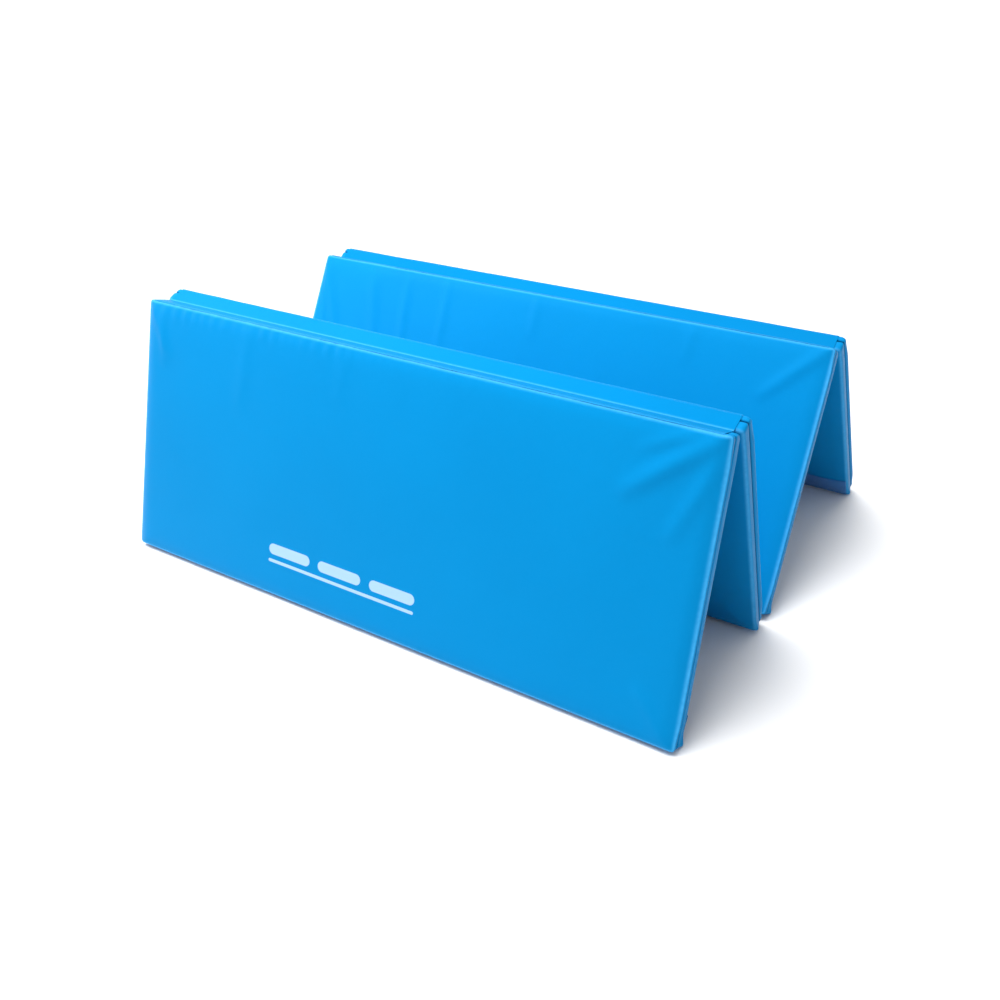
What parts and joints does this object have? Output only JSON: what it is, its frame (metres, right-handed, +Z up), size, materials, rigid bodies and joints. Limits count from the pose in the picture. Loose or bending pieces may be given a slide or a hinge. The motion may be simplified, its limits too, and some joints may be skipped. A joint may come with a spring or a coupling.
{
  "type": "folding gym mat",
  "caption": "Padded vinyl exercise mat of hinged panels that stand in a zigzag, fold flat into a stack or open into one long mat, with a hook flap and a loop strip on its free ends.",
  "frame": {"origin": "on the floor under the middle of the standing mat", "axes": "+X along the ridges, away from the ends with the zips; +Y from the front panel to the back panel; +Z up"},
  "size_m": [1.2064, 0.9582, 0.4866],
  "materials": {
    "vinyl": "satin PVC sheet on woven backing",
    "foam": "closed-cell foam",
    "zip_fabric": "woven tape with a nylon coil",
    "zip_metal": "enamelled",
    "hook": "hook tape",
    "loop": "loop tape"
  },
  "bodies": {
    "panel_1": {"foam_core_1": "foam", "outer_cover_1": "vinyl", "inner_cover_1": "vinyl", "zip_tape_1": "zip_fabric", "ridge_1_leaf_front": "vinyl", "flap_hem": "vinyl"},
    "panel_2": {"foam_core_2": "foam", "outer_cover_2": "vinyl", "inner_cover_2": "vinyl", "zip_tape_2": "zip_fabric", "ridge_1_leaf_back": "vinyl", "valley_leaf_front": "vinyl"},
    "panel_3": {"foam_core_3": "foam", "outer_cover_3": "vinyl", "inner_cover_3": "vinyl", "zip_tape_3": "zip_fabric", "valley_leaf_back": "vinyl", "ridge_2_leaf_front": "vinyl"},
    "panel_4": {"foam_core_4": "foam", "outer_cover_4": "vinyl", "inner_cover_4": "vinyl", "zip_tape_4": "zip_fabric", "ridge_2_leaf_back": "vinyl", "loop_tape": "loop"},
    "flap": {"hook_flap": "vinyl", "hook_tape": "hook"},
    "zip_1": {"zip_slider_1": "zip_metal", "zip_pull_1": "zip_metal"},
    "zip_2": {"zip_slider_2": "zip_metal", "zip_pull_2": "zip_metal"},
    "zip_3": {"zip_slider_3": "zip_metal", "zip_pull_3": "zip_metal"},
    "zip_4": {"zip_slider_4": "zip_metal", "zip_pull_4": "zip_metal"}
  },
  "joints": [
    {"name": "ridge_1_fold", "type": "hinge", "parent": "panel_1", "child": "panel_2", "pos_m": [0.00323, -0.29523, 0.47489], "axis": [1, 0, 0], "range_deg": [-33.93, 143.67]},
    {"name": "valley_fold", "type": "hinge", "parent": "panel_2", "child": "panel_3", "pos_m": [0.00323, -0.09006, 0.01699], "axis": [-1, 0, 0], "range_deg": [-48.53, 130.67]},
    {"name": "ridge_2_fold", "type": "hinge", "parent": "panel_3", "child": "panel_4", "pos_m": [0.00323, 0.19631, 0.429], "axis": [1, 0, 0], "range_deg": [-59.2, 120]},
    {"name": "flap_swing", "type": "hinge", "parent": "panel_1", "child": "flap", "pos_m": [0.00323, -0.4374, 0.0044], "axis": [-1, 0, 0], "range_deg": [-15, 165]},
    {"name": "zip_run_1", "type": "slide", "parent": "panel_1", "child": "zip_1", "axis": [0, -0.2924, -0.9563], "range_m": [0, 0.41]},
    {"name": "zip_run_2", "type": "slide", "parent": "panel_2", "child": "zip_2", "axis": [0, 0.3311, -0.9436], "range_m": [0, 0.41]},
    {"name": "zip_run_3", "type": "slide", "parent": "panel_3", "child": "zip_3", "axis": [0, -0.5, -0.866], "range_m": [0, 0.41]},
    {"name": "zip_run_4", "type": "slide", "parent": "panel_4", "child": "zip_4", "axis": [0, 0.5, -0.866], "range_m": [0, 0.41]}
  ]
}
